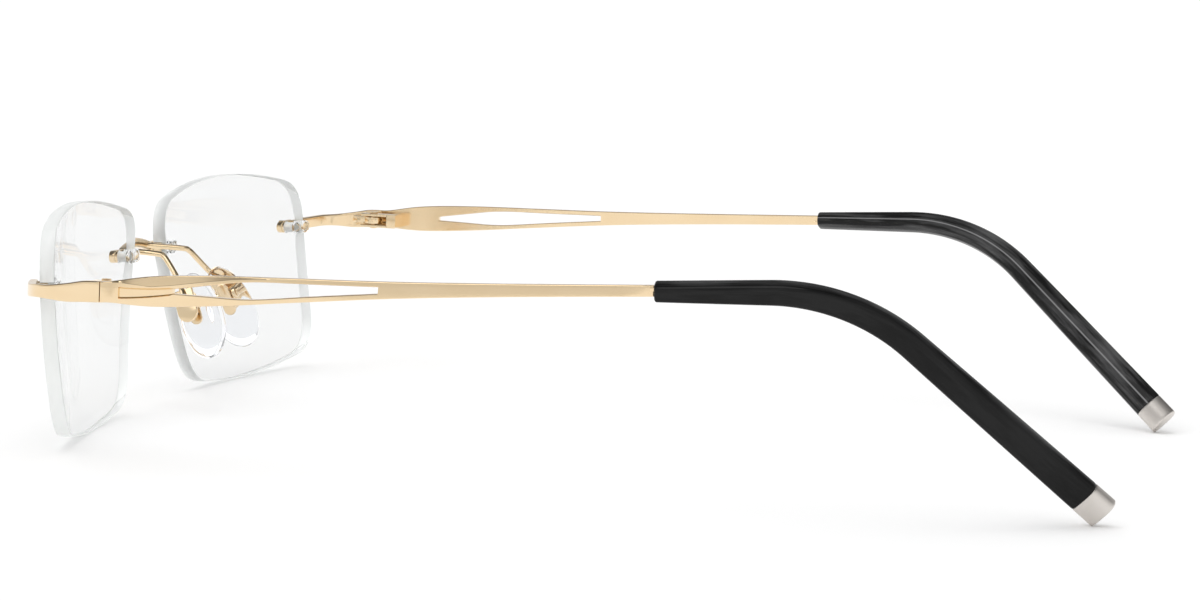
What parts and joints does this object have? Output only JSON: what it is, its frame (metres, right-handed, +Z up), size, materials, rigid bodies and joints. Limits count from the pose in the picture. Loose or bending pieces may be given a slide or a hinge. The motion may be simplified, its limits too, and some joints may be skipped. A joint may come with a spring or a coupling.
{
  "type": "rimless eyeglasses",
  "caption": "Rimless eyeglasses: drilled curved lenses, arched metal bridge, swivelling nose pads, folding slotted metal temples and curved tips with metal end caps.",
  "frame": {"origin": "middle of the box of the open glasses, on the surface they stand on", "axes": "+X to the wearer's left, +Y back along the temples, +Z up"},
  "size_m": [0.1392, 0.1525, 0.032],
  "materials": {
    "lens": "clear polished faces with a ground satin edge",
    "clear_plastic": "clear moulded plastic",
    "silicone": "clear soft silicone",
    "gold_metal": "satin pale gold plating",
    "tip_black": "glossy black acetate",
    "cap_silver": "satin warm silver"
  },
  "bodies": {
    "front": {"bridge": "gold_metal", "lens_left": "lens", "nose_side_plug_left": "clear_plastic", "temple_side_plug_left": "clear_plastic", "pad_arm_left": "gold_metal", "pad_box_left": "gold_metal", "pad_screw_left": "gold_metal", "end_piece_left": "gold_metal", "hinge_tongue_left": "gold_metal", "lens_right": "lens", "nose_side_plug_right": "clear_plastic", "temple_side_plug_right": "clear_plastic", "pad_arm_right": "gold_metal", "pad_box_right": "gold_metal", "pad_screw_right": "gold_metal", "end_piece_right": "gold_metal", "hinge_tongue_right": "gold_metal"},
    "temple_left": {"temple_left": "gold_metal", "hinge_clevis_left": "gold_metal", "hinge_screw_left": "gold_metal", "temple_tip_left": "tip_black", "end_cap_left": "cap_silver"},
    "nose_pad_left": {"nose_pad_left": "silicone", "pad_insert_left": "gold_metal"},
    "temple_right": {"temple_right": "gold_metal", "hinge_clevis_right": "gold_metal", "hinge_screw_right": "gold_metal", "temple_tip_right": "tip_black", "end_cap_right": "cap_silver"},
    "nose_pad_right": {"nose_pad_right": "silicone", "pad_insert_right": "gold_metal"}
  },
  "joints": [
    {"name": "left_temple_fold", "type": "hinge", "parent": "front", "child": "temple_left", "pos_m": [0.0656, -0.0566, 0.0236], "axis": [0, 0, 1], "range_deg": [0, 85]},
    {"name": "left_pad_swivel", "type": "hinge", "parent": "front", "child": "nose_pad_left", "pos_m": [0.009, -0.0634, 0.01595], "axis": [0.0852, 0.9169, 0.39], "range_deg": [-6, 6]},
    {"name": "right_temple_fold", "type": "hinge", "parent": "front", "child": "temple_right", "pos_m": [-0.0656, -0.0566, 0.0236], "axis": [0, 0, -1], "range_deg": [0, 74]},
    {"name": "right_pad_swivel", "type": "hinge", "parent": "front", "child": "nose_pad_right", "pos_m": [-0.009, -0.0634, 0.01595], "axis": [-0.0852, 0.9169, 0.39], "range_deg": [-6, 6]}
  ]
}
